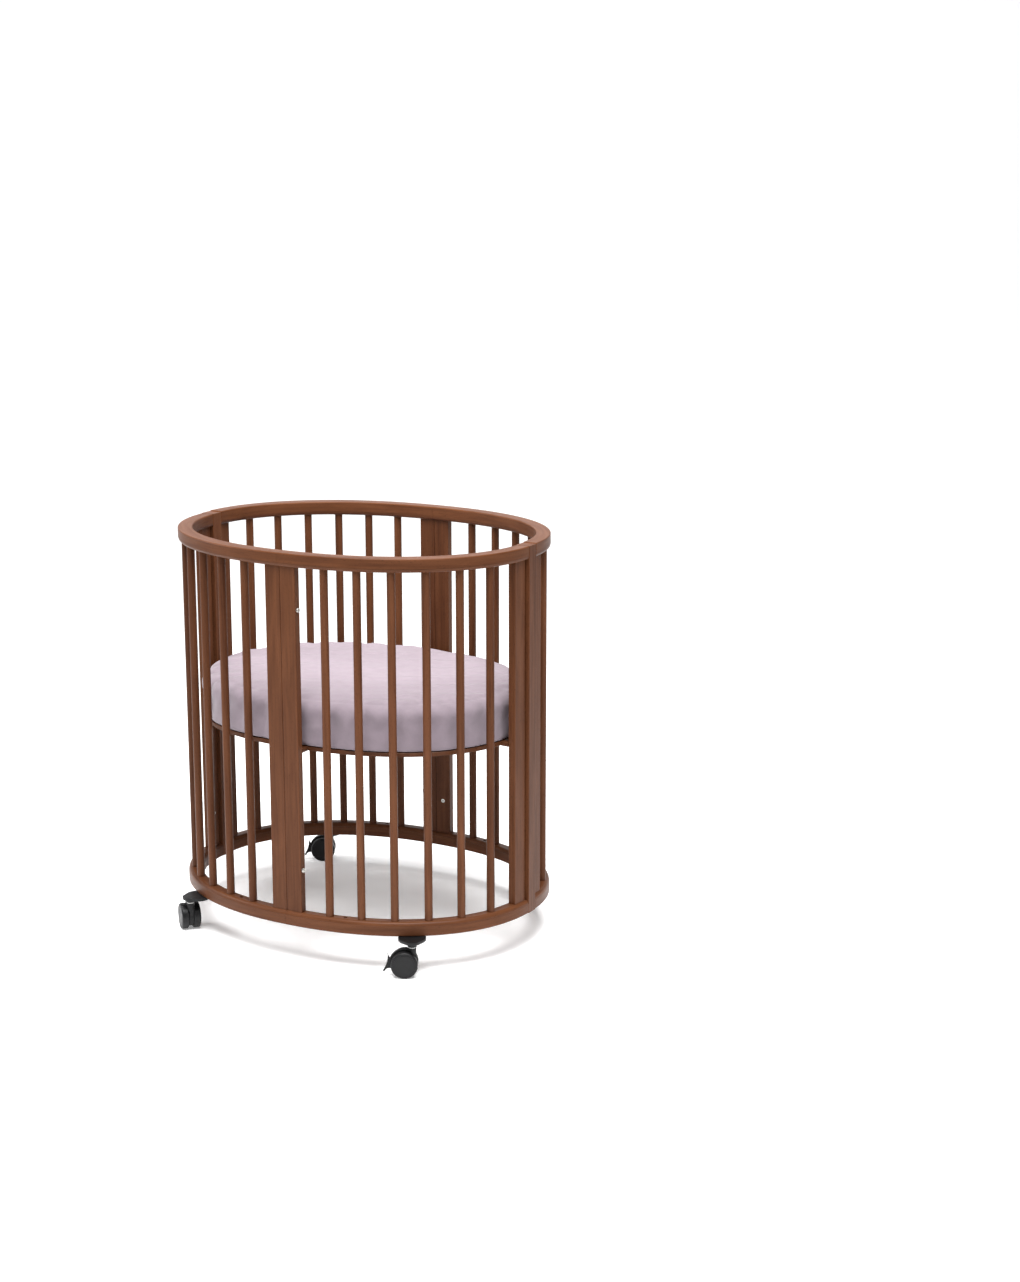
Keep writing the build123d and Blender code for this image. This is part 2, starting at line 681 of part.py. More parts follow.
# ================================================================ mattress and sheet
def make_mattress():
    """Oval foam mattress with rounded edges."""
    skin = sheet_thickness + sheet_gap
    low_z = base_top_z + soft_gap + skin
    with BuildPart() as mattress:
        with BuildSketch(Plane.XY.offset(low_z)):
            with BuildLine():
                oval_outline(sheet_inset + skin)
            make_face()
        extrude(amount=mattress_height)
        fillet(mattress.edges().group_by(Axis.Z)[-1], mattress_top_radius)
        fillet(mattress.edges().group_by(Axis.Z)[0], mattress_bottom_radius)
    save(mattress, "mattress")


def make_fitted_sheet():
    """Thin fitted sheet over the mattress, turned under its lower edge."""
    skin = sheet_thickness + sheet_gap
    low_z = base_top_z + soft_gap
    with BuildPart() as sheet:
        with BuildSketch(Plane.XY.offset(low_z)):
            with BuildLine():
                oval_outline(sheet_inset)
            make_face()
        extrude(amount=mattress_height + 2 * skin)
        fillet(sheet.edges().group_by(Axis.Z)[-1], mattress_top_radius + skin)
        fillet(sheet.edges().group_by(Axis.Z)[0], mattress_bottom_radius + skin)
        with BuildPart(mode=Mode.PRIVATE) as hollow:
            with BuildSketch(Plane.XY.offset(low_z + sheet_thickness)):
                with BuildLine():
                    oval_outline(sheet_inset + sheet_thickness)
                make_face()
            extrude(amount=mattress_height + 2 * sheet_gap)
            fillet(hollow.edges().group_by(Axis.Z)[-1], mattress_top_radius + sheet_gap)
            fillet(hollow.edges().group_by(Axis.Z)[0], mattress_bottom_radius + sheet_gap)
        add(hollow.part, mode=Mode.SUBTRACT)
        with BuildSketch(Plane.XY.offset(low_z)):
            with BuildLine():
                oval_outline(sheet_inset + sheet_tuck)
            make_face()
        extrude(amount=mattress_height / 2, mode=Mode.SUBTRACT)
    save(sheet, "fitted_sheet")


# ================================================================ the whole crib
for quarter, (sign_x, sign_y) in quarters.items():
    top_height = top_rail_height if sign_y > 0 else top_rail_height - rear_rail_step
    make_rail(f"top_rail_{quarter}", sign_x, sign_y, top_rail_z, top_height, holes_face_up=False)
    make_rail(f"bottom_rail_{quarter}", sign_x, sign_y, bottom_rail_z, bottom_rail_height, holes_face_up=True)
    make_spindles(f"spindles_{quarter}", sign_x, sign_y)

seam_drillings = {"front_right": through_drillings("front_seam"), "front_left": insert_drillings("front_seam"),
                  "rear_left": through_drillings("rear_seam"), "rear_right": insert_drillings("rear_seam")}
end_drillings = {"front_right": [], "front_left": [],
                 "rear_left": through_drillings("left_end"), "rear_right": through_drillings("right_end")}
for quarter, (sign_x, sign_y) in quarters.items():
    make_board(f"seam_board_{quarter}", seam_board_plane(sign_x, sign_y), seam_drillings[quarter])
    make_board(f"end_board_{quarter}", end_board_plane(sign_x, sign_y), end_drillings[quarter])

make_post("post_left", -1, "left_end")
make_post("post_right", 1, "right_end")
make_panel_bolts()
make_panel_inserts()
make_base_inserts()

make_mattress_base()
make_base_fittings()
make_mattress()
make_fitted_sheet()

make_caster_screws()
make_caster_washers()
for quarter in quarters:
    make_caster_plate(quarter)
    make_caster_housing(quarter)
    make_caster_pins(quarter)
    make_lever(quarter)
    make_wheel(quarter, 1, "a")
    make_wheel(quarter, -1, "b")
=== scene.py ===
# %% [markdown]
# # Dressing an oval baby crib
# The crib comes from CAD as a set of exact parts in metres: curved rails, round spindles, boards, posts,
# casters, a mattress base, and plain solids that stand for the mattress and its fitted sheet.
# This lesson gives the hard parts their wood, plastic and metal, and makes the two soft parts anew.
# Every piece rides on the CAD body that it belongs to, so the crib still rolls, brakes and opens up.

# %% Load the fixed frame
import bpy
import numpy as np
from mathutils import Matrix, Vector


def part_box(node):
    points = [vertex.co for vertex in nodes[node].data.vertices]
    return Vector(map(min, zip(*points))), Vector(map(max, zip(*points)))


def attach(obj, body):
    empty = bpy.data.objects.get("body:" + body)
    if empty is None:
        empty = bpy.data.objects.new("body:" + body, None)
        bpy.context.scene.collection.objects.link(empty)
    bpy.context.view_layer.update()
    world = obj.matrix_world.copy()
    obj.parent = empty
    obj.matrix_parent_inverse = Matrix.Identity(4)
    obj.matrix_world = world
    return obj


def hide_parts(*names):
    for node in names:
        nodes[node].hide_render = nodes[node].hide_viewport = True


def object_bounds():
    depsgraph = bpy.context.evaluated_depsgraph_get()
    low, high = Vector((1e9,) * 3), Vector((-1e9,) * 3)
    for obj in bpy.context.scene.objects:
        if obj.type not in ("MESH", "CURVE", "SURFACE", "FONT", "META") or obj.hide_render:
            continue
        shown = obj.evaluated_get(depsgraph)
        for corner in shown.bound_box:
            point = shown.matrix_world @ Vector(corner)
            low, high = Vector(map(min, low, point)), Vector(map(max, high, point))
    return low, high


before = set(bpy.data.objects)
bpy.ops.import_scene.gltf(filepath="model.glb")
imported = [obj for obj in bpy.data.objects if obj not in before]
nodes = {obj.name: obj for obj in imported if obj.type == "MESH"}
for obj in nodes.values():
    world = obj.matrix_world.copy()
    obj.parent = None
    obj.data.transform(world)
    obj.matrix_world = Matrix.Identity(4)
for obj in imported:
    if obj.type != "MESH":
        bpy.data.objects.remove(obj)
cad_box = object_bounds()


# %% [markdown]
# ## Camera, floor and light
# A long lens a few metres away keeps the uprights almost parallel. The floor sweeps up behind the crib
# in one curve, so there is no horizon line: a paper sweep is how a photographer gets a plain pale ground.

# %% The camera
camera_data = bpy.data.cameras.new("camera")
camera_data.lens = 63.19
camera_data.sensor_width = 36.0
camera_data.clip_end = 60.0
camera = bpy.data.objects.new("camera", camera_data)
camera.location = (2.5600, -3.9937, 1.7184)
camera.rotation_euler = (np.pi / 2 - 0.2280, 0.0, 0.5037)
bpy.context.scene.collection.objects.link(camera)
bpy.context.scene.camera = camera
print("camera at", tuple(round(v, 3) for v in camera.location))


# %% A helper that turns arrays into a mesh object
def make_piece(name, points, faces, smooth=True):
    """A mesh object from an (n, 3) array of points and an (m, 4) or (m, 3) array of faces, at the origin."""
    mesh = bpy.data.meshes.new(name)
    mesh.from_pydata(points.tolist(), [], faces.tolist())
    mesh.polygons.foreach_set("use_smooth", np.full(len(mesh.polygons), smooth))
    mesh.update()
    piece = bpy.data.objects.new(name, mesh)
    bpy.context.scene.collection.objects.link(piece)
    return piece


def grid_faces(rows, columns, wrap_columns=False, wrap_rows=False):
    """Quads of a grid whose points are stored row by row; a wrapped side joins the last line to the first."""
    last_row = rows if wrap_rows else rows - 1
    last_column = columns if wrap_columns else columns - 1
    r, c = np.meshgrid(np.arange(last_row), np.arange(last_column), indexing="ij")
    r, c = r.ravel(), c.ravel()
    up, right = (r + 1) % rows, (c + 1) % columns
    return np.stack([r * columns + c, r * columns + right, up * columns + right, up * columns + c], axis=1)


# %% The paper sweep
def sweep_points(back, radius, width, rows=60, columns=3):
    """Flat from the front to `back`, then a quarter circle of `radius`, then straight up. The whole is turned
    to face the camera."""
    run = np.linspace(0, 1, rows)
    length = np.array([9.0, radius * np.pi / 2, 6.0])
    s = run * length.sum() - 9.0
    bend = np.clip(s / radius, 0, np.pi / 2)
    along = np.where(s < 0, s, radius * np.sin(bend)) + back
    up = radius * (1 - np.cos(bend)) + np.clip(s - length[1], 0, None)
    side = np.linspace(-width / 2, width / 2, columns)
    a, w = np.meshgrid(along, side, indexing="ij")
    u = np.repeat(up, columns).reshape(a.shape)
    look = np.array([-0.4826, 0.8758])
    x = look[0] * a + look[1] * w
    y = look[1] * a - look[0] * w
    return np.stack([x.ravel(), y.ravel(), u.ravel()], axis=1)


sweep = make_piece("paper_sweep", sweep_points(3.6, 2.5, 18.0), grid_faces(60, 3))
print("sweep faces:", len(sweep.data.polygons))


# %% A helper that starts a material
def new_material(name, colour=(0.5, 0.5, 0.5), roughness=0.5, **sockets):
    """A material with one Principled shader. Plain values go on the shader's own sockets."""
    material = bpy.data.materials.new(name)
    material.use_nodes = True
    shader = material.node_tree.nodes["Principled BSDF"]
    shader.inputs["Base Color"].default_value = (*colour, 1.0)
    shader.inputs["Roughness"].default_value = roughness
    for socket, value in sockets.items():
        shader.inputs[socket.replace("_", " ")].default_value = value
    return material, material.node_tree, shader


paper, _, paper_shader = new_material("paper", (0.90, 0.90, 0.905), 0.9, Emission_Strength=0.25)
paper_shader.inputs["Emission Color"].default_value = (1.0, 1.0, 1.0, 1.0)
sweep.data.materials.append(paper)


# %% Soft light
def area_light(name, place, aim, size, power, colour=(1, 1, 1)):
    """A square soft box at `place`, turned to shine at `aim`."""
    data = bpy.data.lights.new(name, "AREA")
    data.shape = "SQUARE"
    data.size, data.energy, data.color = size, power, colour
    lamp = bpy.data.objects.new(name, data)
    lamp.location = place
    lamp.rotation_euler = (Vector(aim) - Vector(place)).to_track_quat("-Z", "Y").to_euler()
    lamp.visible_camera = False
    bpy.context.scene.collection.objects.link(lamp)
    return lamp


area_light("overhead", (0.6, -0.8, 4.0), (0.0, 0.0, 0.4), 3.0, 470)
area_light("left", (-2.4, -1.0, 1.6), (0.0, 0.0, 0.5), 1.2, 43)
world = bpy.data.worlds.new("studio")
world.use_nodes = True
world.node_tree.nodes["Background"].inputs["Color"].default_value = (1.0, 1.0, 1.0, 1.0)
world.node_tree.nodes["Background"].inputs["Strength"].default_value = 0.16
bpy.context.scene.world = world
bpy.context.scene.view_settings.view_transform = "Standard"


# %% [markdown]
# ## Stained wood
# The crib is beech with a walnut-brown stain. Beech shows three things close up: soft streaks along the
# grain, slow changes of tone from board to board, and short dark flecks. An image would do, but a
# procedural pattern never repeats and never blurs. One node group holds the pattern. It wants coordinates
# whose Z runs along the grain, so the uprights use their own place, and the bent rails use a second group
# that unrolls the oval: it turns the angle round the crib into a length.

# %% Helpers for node groups
def new_group(name, inputs, outputs):
    """An empty shader node group: inputs are (name, kind, value), outputs are (name, kind)."""
    group = bpy.data.node_groups.new(name, "ShaderNodeTree")
    for label, kind, value in inputs:
        socket = group.interface.new_socket(name=label, in_out="INPUT", socket_type=kind)
        if value is not None:
            socket.default_value = value
    for label, kind in outputs:
        group.interface.new_socket(name=label, in_out="OUTPUT", socket_type=kind)
    return group, group.nodes.new("NodeGroupInput"), group.nodes.new("NodeGroupOutput")


def add_math(tree, operation, a, b=None, clamp=False):
    """A Math node; a and b are sockets or plain numbers."""
    node = tree.nodes.new("ShaderNodeMath")
    node.operation, node.use_clamp = operation, clamp
    for socket, value in zip(node.inputs, (a, b)):
        if value is None:
            continue
        if isinstance(value, (int, float)):
            socket.default_value = value
        else:
            tree.links.new(value, socket)
    return node.outputs[0]


def add_stretch(tree, vector, scale):
    """Coordinates multiplied by a different number along each axis."""
    node = tree.nodes.new("ShaderNodeMapping")
    node.inputs["Scale"].default_value = scale
    tree.links.new(vector, node.inputs["Vector"])
    return node.outputs["Vector"]


def add_noise(tree, vector, scale, detail=3.0, roughness=0.5, distortion=0.0):
    """A Noise texture's value at the given coordinates."""
    node = tree.nodes.new("ShaderNodeTexNoise")
    node.inputs["Scale"].default_value = scale
    node.inputs["Detail"].default_value = detail
    node.inputs["Roughness"].default_value = roughness
    node.inputs["Distortion"].default_value = distortion
    tree.links.new(vector, node.inputs["Vector"])
    return node.outputs["Fac"]


def add_range(tree, value, low, high, out_low=0.0, out_high=1.0):
    """A value stretched from low..high to out_low..out_high, and held there."""
    node = tree.nodes.new("ShaderNodeMapRange")
    node.inputs["From Min"].default_value, node.inputs["From Max"].default_value = low, high
    node.inputs["To Min"].default_value, node.inputs["To Max"].default_value = out_low, out_high
    tree.links.new(value, node.inputs["Value"])
    return node.outputs["Result"]


# %% The oval unrolled into straight grain
unroll, unroll_in, unroll_out = new_group(
    "oval_unrolled", [("Vector", "NodeSocketVector", None)], [("Vector", "NodeSocketVector")])
parts = unroll.nodes.new("ShaderNodeSeparateXYZ")
unroll.links.new(unroll_in.outputs["Vector"], parts.inputs[0])
side_x = add_math(unroll, "DIVIDE", parts.outputs["X"], float(cad_box[1].x))
side_y = add_math(unroll, "DIVIDE", parts.outputs["Y"], float(cad_box[1].y))
angle = add_math(unroll, "ARCTAN2", side_y, side_x)
reach = add_math(unroll, "SQRT", add_math(unroll, "ADD", add_math(unroll, "MULTIPLY", side_x, side_x),
                                          add_math(unroll, "MULTIPLY", side_y, side_y)))
mean_radius = float(cad_box[1].x + cad_box[1].y) / 2
unrolled = unroll.nodes.new("ShaderNodeCombineXYZ")
unroll.links.new(add_math(unroll, "MULTIPLY", reach, mean_radius), unrolled.inputs["X"])
unroll.links.new(parts.outputs["Z"], unrolled.inputs["Y"])
unroll.links.new(add_math(unroll, "MULTIPLY", angle, mean_radius), unrolled.inputs["Z"])
unroll.links.new(unrolled.outputs["Vector"], unroll_out.inputs["Vector"])
print("mean radius of the oval:", round(mean_radius, 4), "m")

# %% The wood figure: streaks, tone and flecks
figure, figure_in, figure_out = new_group(
    "wood_figure", [("Vector", "NodeSocketVector", None)],
    [("Tone", "NodeSocketFloat"), ("Flecks", "NodeSocketFloat"), ("Height", "NodeSocketFloat")])
along_grain = figure_in.outputs["Vector"]
streaks = add_noise(figure, add_stretch(figure, along_grain, (1.0, 1.0, 0.035)), 150.0, 5.0, 0.62, 0.4)
waves = add_noise(figure, add_stretch(figure, along_grain, (1.0, 1.0, 0.16)), 26.0, 3.0, 0.5, 1.2)
piece_tone = add_noise(figure, add_stretch(figure, along_grain, (1.0, 1.0, 0.08)), 9.0, 1.0, 0.4)
fleck_noise = add_noise(figure, add_stretch(figure, along_grain, (1.0, 1.0, 0.22)), 900.0, 1.0, 0.4)
flecks = add_range(figure, fleck_noise, 0.66, 0.74)
tone = add_math(figure, "ADD", add_math(figure, "MULTIPLY", streaks, 0.40),
                add_math(figure, "ADD", add_math(figure, "MULTIPLY", waves, 0.32),
                         add_math(figure, "MULTIPLY", piece_tone, 0.28)))
figure.links.new(add_range(figure, tone, 0.32, 0.68), figure_out.inputs["Tone"])
figure.links.new(flecks, figure_out.inputs["Flecks"])
height = add_math(figure, "SUBTRACT", add_math(figure, "MULTIPLY", streaks, 0.6),
                  add_math(figure, "MULTIPLY", flecks, 0.5))
figure.links.new(height, figure_out.inputs["Height"])


# %% A stained wood material
def stained_wood(name, coordinates, dark, light, roughness=(0.34, 0.46), bump=0.12):
    """Wood whose colour runs from dark to light with the figure. `coordinates` lays the grain:
    'upright' along Z, 'bent' round the oval, or 'long' along X."""
    material, tree, shader = new_material(name, Specular_IOR_Level=0.10)
    place = tree.nodes.new("ShaderNodeTexCoord")
    vector = place.outputs["Object"]
    if coordinates == "bent":
        node = tree.nodes.new("ShaderNodeGroup")
        node.node_tree = unroll
        tree.links.new(vector, node.inputs["Vector"])
        vector = node.outputs["Vector"]
    if coordinates == "long":
        node = tree.nodes.new("ShaderNodeMapping")
        node.inputs["Rotation"].default_value = (0.0, np.pi / 2, 0.0)
        tree.links.new(vector, node.inputs["Vector"])
        vector = node.outputs["Vector"]
    wood = tree.nodes.new("ShaderNodeGroup")
    wood.node_tree = figure
    tree.links.new(vector, wood.inputs["Vector"])
    ramp = tree.nodes.new("ShaderNodeValToRGB")
    ramp.color_ramp.elements[0].color = (*dark, 1.0)
    ramp.color_ramp.elements[1].color = (*light, 1.0)
    tree.links.new(wood.outputs["Tone"], ramp.inputs["Fac"])
    fleck = tree.nodes.new("ShaderNodeMix")
    fleck.data_type = "RGBA"
    fleck.inputs["B"].default_value = (dark[0] * 0.35, dark[1] * 0.3, dark[2] * 0.3, 1.0)
    tree.links.new(add_math(tree, "MULTIPLY", wood.outputs["Flecks"], 0.55), fleck.inputs["Factor"])
    tree.links.new(ramp.outputs["Color"], fleck.inputs["A"])
    tree.links.new(fleck.outputs["Result"], shader.inputs["Base Color"])
    tree.links.new(add_range(tree, wood.outputs["Tone"], 0.0, 1.0, roughness[1], roughness[0]),
                   shader.inputs["Roughness"])
    relief = tree.nodes.new("ShaderNodeBump")
    relief.inputs["Strength"].default_value = bump
    relief.inputs["Distance"].default_value = 0.0006
    tree.links.new(wood.outputs["Height"], relief.inputs["Height"])
    tree.links.new(relief.outputs["Normal"], shader.inputs["Normal"])
    return material


wood_dark, wood_light = (0.046, 0.0142, 0.0053), (0.128, 0.0470, 0.0195)
upright_wood = stained_wood("stained_beech_upright", "upright", wood_dark, wood_light)
rail_wood = stained_wood("stained_beech_bent", "bent", wood_dark, wood_light)
base_wood = stained_wood("stained_plywood", "long", (0.046, 0.0145, 0.0055), (0.115, 0.0420, 0.0180))


# %% Dress the wooden parts
def dress(material, *starts):
    """Give the material to every CAD part whose name starts with one of the words."""
    chosen = [part for name, part in nodes.items() if name.startswith(starts)]
    for part in chosen:
        part.data.materials.clear()
        part.data.materials.append(material)
    print(material.name, "on", len(chosen), "parts")


dress(rail_wood, "top_rail", "bottom_rail")
dress(upright_wood, "spindles", "seam_board", "end_board", "post")
dress(base_wood, "mattress_base")

# %% [markdown]
# ## Black plastic, pale washers and plated steel
# The caster parts are moulded nylon: nearly black, with a fine spark-eroded texture that breaks up the
# shine. The wheels' treads are a little softer and smoother. Small metal parts are zinc plated: bright,
# with slow grey patches. One noise group serves all of them with a different scale in each.

# %% A shared group for fine moulded or plated texture
skin, skin_in, skin_out = new_group(
    "fine_skin", [("Vector", "NodeSocketVector", None), ("Fine", "NodeSocketFloat", 2500.0),
                  ("Patch", "NodeSocketFloat", 60.0)],
    [("Grit", "NodeSocketFloat"), ("Patches", "NodeSocketFloat")])
grit = skin.nodes.new("ShaderNodeTexNoise")
skin.links.new(skin_in.outputs["Vector"], grit.inputs["Vector"])
skin.links.new(skin_in.outputs["Fine"], grit.inputs["Scale"])
patches = skin.nodes.new("ShaderNodeTexNoise")
skin.links.new(skin_in.outputs["Vector"], patches.inputs["Vector"])
skin.links.new(skin_in.outputs["Patch"], patches.inputs["Scale"])
skin.links.new(grit.outputs["Fac"], skin_out.inputs["Grit"])
skin.links.new(patches.outputs["Fac"], skin_out.inputs["Patches"])


def textured(name, low, high, roughness, fine, patch, bump, **sockets):
    """A moulded or plated finish: colour and roughness drift with the patches, the grit gives the bump."""
    material, tree, shader = new_material(name, **sockets)
    place = tree.nodes.new("ShaderNodeTexCoord")
    node = tree.nodes.new("ShaderNodeGroup")
    node.node_tree = skin
    node.inputs["Fine"].default_value, node.inputs["Patch"].default_value = fine, patch
    tree.links.new(place.outputs["Object"], node.inputs["Vector"])
    ramp = tree.nodes.new("ShaderNodeValToRGB")
    ramp.color_ramp.elements[0].position, ramp.color_ramp.elements[1].position = 0.3, 0.7
    ramp.color_ramp.elements[0].color = (*low, 1.0)
    ramp.color_ramp.elements[1].color = (*high, 1.0)
    tree.links.new(node.outputs["Patches"], ramp.inputs["Fac"])
    tree.links.new(ramp.outputs["Color"], shader.inputs["Base Color"])
    tree.links.new(add_range(tree, node.outputs["Patches"], 0.3, 0.7, *roughness), shader.inputs["Roughness"])
    relief = tree.nodes.new("ShaderNodeBump")
    relief.inputs["Strength"].default_value = bump
    relief.inputs["Distance"].default_value = 0.0003
    tree.links.new(node.outputs["Grit"], relief.inputs["Height"])
    tree.links.new(relief.outputs["Normal"], shader.inputs["Normal"])
    return material


moulded = textured("moulded_nylon", (0.0035, 0.0035, 0.0038), (0.0060, 0.0060, 0.0066), (0.40, 0.50),
                   2600, 50, 0.35, Specular_IOR_Level=0.22)
tread = textured("wheel_tread", (0.0045, 0.0045, 0.0048), (0.0080, 0.0080, 0.0086), (0.38, 0.50), 1600, 90,
                 0.20, Specular_IOR_Level=0.22)
pale = textured("pale_acetal", (0.60, 0.60, 0.58), (0.70, 0.70, 0.68), (0.30, 0.40), 2000, 80, 0.10)
plated = textured("zinc_plated", (0.50, 0.49, 0.46), (0.68, 0.67, 0.64), (0.26, 0.42), 1800, 220, 0.15,
                  Metallic=1.0)
dress(moulded, "caster_plate", "caster_housing", "caster_lever")
dress(tread, "caster_wheel")
dress(pale, "caster_washers")
dress(plated, "caster_pins", "caster_screws", "panel_", "base_inserts", "base_studs", "base_nuts")

# %% [markdown]
# ## Mattress and fitted sheet
# Both soft parts start as one surface of two parameters: one runs round the oval, the other runs along
# the section, from the middle of the underside, out, up the side and back to the middle of the top.
# The sheet's copy is then blown up a little by a cloth simulation, which gives it the soft bulges that
# a taut cover has. The spindles press on it, so folds are added that are deepest beside each spindle.

# %% The pad's surface
sheet_low, sheet_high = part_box("fitted_sheet")
mattress_low, mattress_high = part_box("mattress")
OVAL_POWER = 2.175


def oval_ring(turn, half_x, half_y):
    """Point of a squarish oval. Each axis is its half length times the cosine or sine to the power
    2 / OVAL_POWER."""
    c, s = np.cos(turn), np.sin(turn)
    return (half_x * np.sign(c) * np.abs(c) ** (2 / OVAL_POWER),
            half_y * np.sign(s) * np.abs(s) ** (2 / OVAL_POWER))


def pad_section(thickness, top_round, bottom_round, half_width, crown, side_pull):
    """The section as (share of the way out, height): flat bottom, round edge, side pulled in at its middle,
    round edge, crowned top. The share is 1 at the side and 0 on the pad's axis."""
    bottom = np.stack([np.linspace(0.04, 1 - bottom_round / half_width, 30), np.zeros(30)], 1)
    t = np.linspace(0, np.pi / 2, 9)[1:]
    low_edge = np.stack([1 - bottom_round / half_width * (1 - np.sin(t)), bottom_round * (1 - np.cos(t))], 1)
    h = np.linspace(bottom_round, thickness - top_round, 14)[1:]
    k = (h - bottom_round) / (thickness - top_round - bottom_round)
    side = np.stack([1 - side_pull / half_width * np.sin(np.pi * k), h], 1)
    high_edge = np.stack([1 - top_round / half_width * (1 - np.cos(t)),
                          thickness - top_round * (1 - np.sin(t))], 1)
    share = np.linspace(1 - top_round / half_width, 0.04, 34)[1:]
    top = np.stack([share, np.full(33, thickness)], 1)
    section = np.concatenate([bottom, low_edge, side, high_edge, top])
    rim = 1 - top_round / half_width
    inside = np.clip(1 - (section[:, 0] / rim) ** 2, 0, 1)
    section[:, 1] += np.where(section[:, 1] > thickness - 1e-6, crown * inside ** 0.75, 0)
    return section


def pad_points(section, half_x, half_y, low, around=180):
    """Every section point carried round the oval, and one point each to close the bottom and the top."""
    turn = np.linspace(0, 2 * np.pi, around, endpoint=False)
    ring_x, ring_y = oval_ring(turn, half_x, half_y)
    x = section[:, :1] * ring_x
    y = section[:, :1] * ring_y
    z = np.repeat(section[:, 1] + low, around).reshape(x.shape)
    rings = np.stack([x.ravel(), y.ravel(), z.ravel()], 1)
    ends = np.array([[0, 0, low + section[0, 1]], [0, 0, low + section[-1, 1]]])
    return np.concatenate([rings, ends])


def pad_faces(rows, around=180):
    """The grid's quads, and a fan of triangles, written as quads with a repeated corner, at each end."""
    quads = grid_faces(rows, around, wrap_columns=True)
    i = np.arange(around)
    j = (i + 1) % around
    bottom, top = rows * around, rows * around + 1
    last = (rows - 1) * around
    low_fan = np.stack([j, i, np.full(around, bottom)], 1)
    high_fan = np.stack([last + i, last + j, np.full(around, top)], 1)
    return quads.tolist() + low_fan.tolist() + high_fan.tolist()


def make_pad(name, section, half_x, half_y, low):
    """A closed pad as a mesh object."""
    points = pad_points(section, half_x, half_y, low)
    mesh = bpy.data.meshes.new(name)
    mesh.from_pydata(points.tolist(), [], pad_faces(len(section)))
    mesh.polygons.foreach_set("use_smooth", np.ones(len(mesh.polygons), bool))
    mesh.update()
    piece = bpy.data.objects.new(name, mesh)
    bpy.context.scene.collection.objects.link(piece)
    return piece


# %% The mattress under the sheet
half_x, half_y = float(mattress_high.x) - 0.013, float(mattress_high.y) - 0.013
thickness = float(mattress_high.z - mattress_low.z) - 0.013
mattress_section = pad_section(thickness, 0.026, 0.008, half_y, 0.0005, 0.001)
mattress_pad = make_pad("mattress_pad", mattress_section, half_x, half_y, float(mattress_low.z) + 0.0008)
print("mattress pad:", [round(v * 2, 3) for v in (half_x, half_y)], "x", round(thickness, 3))

# %% The sheet's blank, swollen by a cloth simulation
blank_x, blank_y = float(sheet_high.x) + 0.0005, float(sheet_high.y) + 0.0005
blank_height = float(sheet_high.z - sheet_low.z) - 0.005
sheet_bottom = float(sheet_low.z)
blank_section = pad_section(blank_height, 0.024, 0.005, blank_y, 0.0010, 0.0010)
sheet_blank = make_pad("sheet_blank", blank_section, blank_x, blank_y, sheet_bottom + 0.0004)


def mesh_points(mesh):
    """A mesh's points as an (n, 3) array."""
    flat = np.empty(len(mesh.vertices) * 3)
    mesh.vertices.foreach_get("co", flat)
    return flat.reshape(-1, 3)


def baked_copy(piece):
    """A new mesh of the piece with its modifiers applied."""
    graph = bpy.context.evaluated_depsgraph_get()
    return bpy.data.meshes.new_from_object(piece.evaluated_get(graph))


remesh = sheet_blank.modifiers.new("even_grid", "REMESH")
remesh.mode = "VOXEL"
remesh.voxel_size = 0.005
start_mesh = baked_copy(sheet_blank)
sheet_blank.modifiers.clear()
sheet_blank.data = start_mesh
start = mesh_points(start_mesh)
print("points in the even grid:", len(start))

# %% Blow it up a little, and hold the underside where it lies on the base
held = sheet_blank.vertex_groups.new(name="held")
held.add(np.flatnonzero(start[:, 2] < sheet_bottom + 0.006).tolist(), 1.0, "REPLACE")
cloth = sheet_blank.modifiers.new("swell", "CLOTH")
cloth.settings.quality = 5
cloth.settings.mass = 0.3
cloth.settings.tension_stiffness = 20
cloth.settings.compression_stiffness = 20
cloth.settings.bending_stiffness = 0.3
cloth.settings.use_pressure = True
cloth.settings.uniform_pressure_force = 3.0
cloth.settings.vertex_group_mass = "held"
cloth.settings.effector_weights.gravity = 0.0
for number in range(1, 21):
    bpy.context.scene.frame_set(number)
swollen = mesh_points(baked_copy(sheet_blank))
sheet_blank.modifiers.clear()
bpy.context.scene.frame_set(1)
move = swollen - start
far = np.linalg.norm(move, axis=1)
print("the cloth moved", round(float(far.max()) * 1000, 1), "mm at most")
most_move, most_inward = 0.005, 0.0006
move *= np.minimum(1.0, most_move / np.maximum(far, 1e-9))[:, None]
normals = np.empty(start.size)
sheet_blank.data.vertices.foreach_get("normal", normals)
normals = normals.reshape(-1, 3)
inward = np.minimum((move * normals).sum(1) + most_inward, 0)
swollen = start + move - normals * inward[:, None]
swollen[:, 2] = np.maximum(swollen[:, 2], sheet_bottom + 0.0002)


# %% Soft folds along the rim and faint ripples on top
SPINDLE_SPLIT = 0.03      # radians: a wider step between sorted points starts the next spindle
CREASE_SHIFT = 0.028      # radians from a spindle's middle to its crease
PRESS_DEPTH = 0.0095      # metres, beside a spindle
DEEPEST = 0.0090          # metres, the most that the cloth may go in
LEAN_HEIGHT = 0.0020      # metres, of the waves that cross the side
RIPPLE_HEIGHT = 0.0014    # metres, of the ripples on top
DIP_DEPTH = 0.0030        # metres, where a crease runs on over the top


def spindle_angles():
    """The angle of every spindle round the oval. The angles of all their points are sorted and split wherever
    two neighbours lie further apart than the points of one spindle do."""
    spindles = [mesh_points(part.data) for name, part in nodes.items() if name.startswith("spindles")]
    points = np.concatenate(spindles)
    angle = np.sort(np.arctan2(points[:, 1] / blank_y, points[:, 0] / blank_x))
    groups = np.split(angle, np.flatnonzero(np.diff(angle) > SPINDLE_SPLIT) + 1)
    return np.array([(group[0] + group[-1]) / 2 for group in groups])


